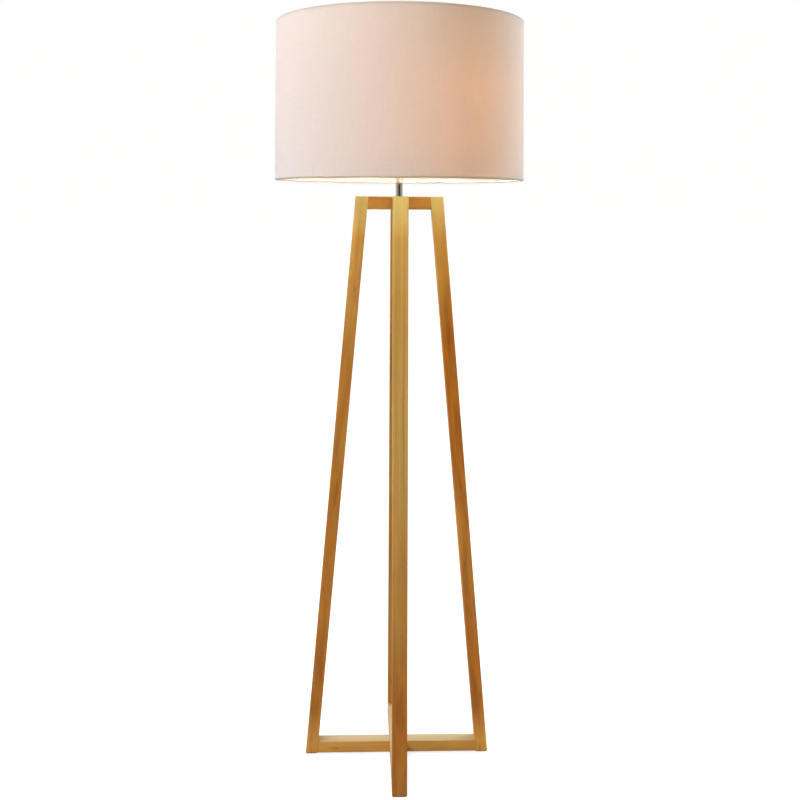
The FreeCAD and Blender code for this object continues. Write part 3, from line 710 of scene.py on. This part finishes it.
def cloth_line():
    """The cloth's outer line from the lower inner hem edge, round the shade, to the upper inner hem edge."""
    low, high = SHADE_BOTTOM + HEM_HEIGHT, SHADE_TOP - HEM_HEIGHT
    lower = list(reversed(hem_curve(SHADE_BOTTOM, shade_radius(low), -1)))
    upper = hem_curve(SHADE_TOP, shade_radius(high), 1)
    heights = [low + (high - low) * index / WALL_STEPS for index in range(1, WALL_STEPS)]
    for away in STEPS_BESIDE_HEM:
        heights += [low + away, high - away]
    wall = [(shade_radius(height), height) for height in sorted(heights)]
    return lower + wall + upper


def make_shade_cover(material):
    """The fabric cover as one thin sheet, turned round the wire at both ends."""
    outer = cloth_line()
    inner = offset_profile(outer, CLOTH)
    shape = turned_shape(outer + list(reversed(inner)), shade_angles(), place_cloth)
    piece = mesh_object("shade_cover", shape, material, "shade")
    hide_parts("shade_fabric", "shade_top_hem", "shade_bottom_hem")


# ---------------------------------------------------------------- CAD nodes and their finish
def paint(material, *nodes):
    """Gives CAD nodes a material in every slot."""
    for node in nodes:
        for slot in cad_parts[node].material_slots:
            slot.link = "OBJECT"
            slot.material = material


def paint_wood():
    """Each board gets its own stretch of grain, and the dowels a plain one."""
    for name, turn in board_turns().items():
        across, deep = (distance + random.random() * HEART_SPREAD for distance in HEART_DISTANCE)
        shift = (across, deep, random.random() * LOG_LENGTH)
        paint(oak(name, turn, shift, BOARDS[name]), name)
    paint(oak("dowels", (0, 0, 0), (0.2, 0.1, 0), PLAIN_BOARD), "top_dowels")
    paint(oak("dowels_low", (0, 0, 0), (0.1, 0.2, 0), PLAIN_BOARD), "bottom_dowels")


def paint_fittings():
    """The metal, plastic, ceramic and felt pieces of the frame and the lampholder."""
    steel = brushed("zinc_steel", (0.62, 0.63, 0.64))
    paint(steel, "threaded_tube", "tube_washer", "tube_nut", "bottom_cross_screw", "terminal_screws")
    paint(steel, "holder_grub_screw", "switch_spindle")
    paint(felt("felt"), "floor_pads")
    paint(polished("polished_metal", (0.80, 0.79, 0.77)), "post_sleeve")
    white = plastic("holder_plastic", (0.82, 0.81, 0.77))
    paint(white, "holder_cap", "holder_skirt", "shade_ring_nut", "switch_knob")
    black = plastic("black_plastic", (0.025, 0.025, 0.026), 0.45)
    paint(black, "cable_outlet_bush", "bulb_cap_insulator", "switch_body")
    paint(polished("brass", (0.80, 0.58, 0.26), 0.12), "socket_shell", "centre_contact")
    paint(ceramic("ceramic"), "holder_insert")


def paint_shade_and_bulb():
    """The shade's wires and liner, and the bulb's pieces."""
    wire = powder_coat("white_wire", (0.80, 0.79, 0.76))
    paint(wire, "shade_bottom_ring", "shade_top_ring", "shade_spokes", "shade_centre_ring")
    paint(liner_sheet("liner_plastic"), "shade_liner")
    paint(polished("bulb_nickel", (0.72, 0.70, 0.66), 0.12), "bulb_screw_cap", "bulb_contact_tip")
    paint(plastic("bulb_body", (0.86, 0.85, 0.82), 0.3), "bulb_housing")
    paint(bulb_opal("bulb_opal"), "bulb_dome")
    paint(plastic("board_white", (0.84, 0.84, 0.83), 0.35), "led_board")
    paint(phosphor("led_phosphor"), "led_chips")


# ---------------------------------------------------------------- floor, light and camera
WHITE = (1.0, 1.0, 0.995)
FLOOR_COLOUR = (0.40, 0.395, 0.39)
FLOOR_SHINE = 0.70
FLOOR_RADIUS = 40.0

# Brightness of the studio round the lamp, from the front (0) to the back (1)
ROOM_WALLS = [
    (0.00, (0.060, 0.037, 0.020)),
    (0.03, (0.066, 0.042, 0.022)),
    (0.06, (0.275, 0.240, 0.182)),
    (0.37, (0.370, 0.355, 0.305)),
    (0.60, (0.740, 0.770, 0.710)),
    (1.00, (0.880, 0.900, 0.860)),
]

# Square soft boxes that face the shade: name, place, width, power and colour
SOFT_BOXES = [
    ("key_left", (-2.2, -1.6, 2.2), 1.0, 63, (0.66, 0.79, 1.0)),
    ("front_fill", (-1.2, -2.8, 2.0), 1.2, 26, (1.0, 0.80, 0.54)),
    ("rim_left", (-1.95, 1.05, 1.7), 0.8, 13, (0.42, 0.66, 1.0)),
    ("rim_right", (1.95, 1.05, 1.7), 0.8, 62, (0.70, 0.87, 1.0)),
]

# A tall narrow light beside the bulb, which warms the front right of the shade
GLOW_PLACE = Vector((0.055, -0.082, BULB_CENTRE - 0.018))
GLOW_WAY = Vector((0.445, -0.658, 0))
GLOW_WIDTH = 0.05
GLOW_HEIGHT = 0.23
GLOW_POWER = 0.68
GLOW_COLOUR = (1.0, 0.74, 0.47)

CAMERA_PLACE = (-0.0741, -2.1827, 1.1548)
CAMERA_LENS = 49.0             # in millimetres, as the sensor is
CAMERA_SENSOR = 36.0
CAMERA_HEADING = -0.0356       # angles in radians
CAMERA_DOWN = 0.1761
CAMERA_ROLL = 0.0052


def make_floor():
    """A plain pale floor, wide enough for every view, and white to the camera."""
    shape = bmesh.new()
    bmesh.ops.create_circle(shape, cap_ends=True, radius=FLOOR_RADIUS, segments=96)
    mesh = bpy.data.meshes.new("floor")
    shape.to_mesh(mesh)
    shape.free()
    floor = new_object("floor", mesh)
    m = Material("floor_pale")
    m.set(Base_Color=FLOOR_COLOUR, Roughness=0.9)
    plain = m.main.outputs[0]
    shine = m.add("Emission", {"Color": WHITE, "Strength": FLOOR_SHINE})
    seen = m.add("AddShader", {0: plain, 1: shine.outputs[0]})
    by_camera = m.add("LightPath").outputs["Is Camera Ray"]
    m.show(m.mix_shaders(by_camera, plain, seen.outputs[0]))
    mesh.materials.append(m.material)


def make_room():
    """Studio walls: white to the camera, dimmer towards the front for the lamp."""
    world = bpy.data.worlds.new("studio")
    bpy.context.scene.world = world
    world.use_nodes = True
    room = Nodes(world.node_tree)
    room.tree.nodes.clear()
    to_back = room.split(room.add("TexCoord").outputs["Generated"])[1]
    walls = room.ramp(room.span(to_back, -1.0, 1.0), ROOM_WALLS)
    lit = room.add("Background", {"Color": walls})
    seen = room.add("Background", {"Color": WHITE})
    by_camera = room.add("LightPath").outputs["Is Camera Ray"]
    output = room.add("OutputWorld")
    room.put(output.inputs["Surface"], room.mix_shaders(by_camera, lit.outputs[0], seen.outputs[0]))


def area_light(name, place, target, width, height, power, colour):
    """A soft box that faces a target and doesn't show."""
    data = bpy.data.lights.new(name, "AREA")
    data.shape = "RECTANGLE"
    data.size = width
    data.size_y = height
    data.energy = power
    data.color = colour
    light = new_object(name, data)
    light.location = place
    light.rotation_euler = (Vector(target) - Vector(place)).to_track_quat("-Z", "Y").to_euler()
    light.visible_glossy = False
    light.visible_camera = False


def sun_light(name, from_direction, strength, spread, colour):
    """A sun whose spread is in degrees."""
    data = bpy.data.lights.new(name, "SUN")
    data.energy = strength
    data.angle = math.radians(spread)
    data.color = colour
    light = new_object(name, data)
    light.rotation_euler = (-Vector(from_direction)).to_track_quat("-Z", "Y").to_euler()


def make_lights():
    """A wide soft sun from above, soft boxes round the shade, and a warm glow inside it."""
    sun_light("top_sun", (-0.30, 0.15, 1.0), strength=1.5, spread=45, colour=(1.0, 0.985, 0.96))
    shade_middle = (0, 0, (SHADE_BOTTOM + SHADE_TOP) / 2)
    for name, place, width, power, colour in SOFT_BOXES:
        area_light(name, place, shade_middle, width, width, power, colour)
    target = GLOW_PLACE + GLOW_WAY
    area_light("lamp_glow", GLOW_PLACE, target, GLOW_WIDTH, GLOW_HEIGHT, GLOW_POWER, GLOW_COLOUR)


def make_camera():
    """A camera in front of the lamp, a little below the shade, tilted down."""
    data = bpy.data.cameras.new("camera")
    data.sensor_width = CAMERA_SENSOR
    data.lens = CAMERA_LENS
    camera = new_object("camera", data)
    heading = Matrix.Rotation(CAMERA_HEADING, 4, "Z")
    tilt = Matrix.Rotation(math.pi / 2 - CAMERA_DOWN, 4, "X")
    roll = Matrix.Rotation(CAMERA_ROLL, 4, "Z")
    camera.matrix_world = Matrix.Translation(CAMERA_PLACE) @ heading @ tilt @ roll
    bpy.context.scene.camera = camera


bpy.context.scene.view_settings.view_transform = "Standard"
make_camera()
make_room()
make_lights()
make_floor()
paint_wood()
paint_fittings()
paint_shade_and_bulb()
make_shade_cover(shade_cloth("shade_cloth"))
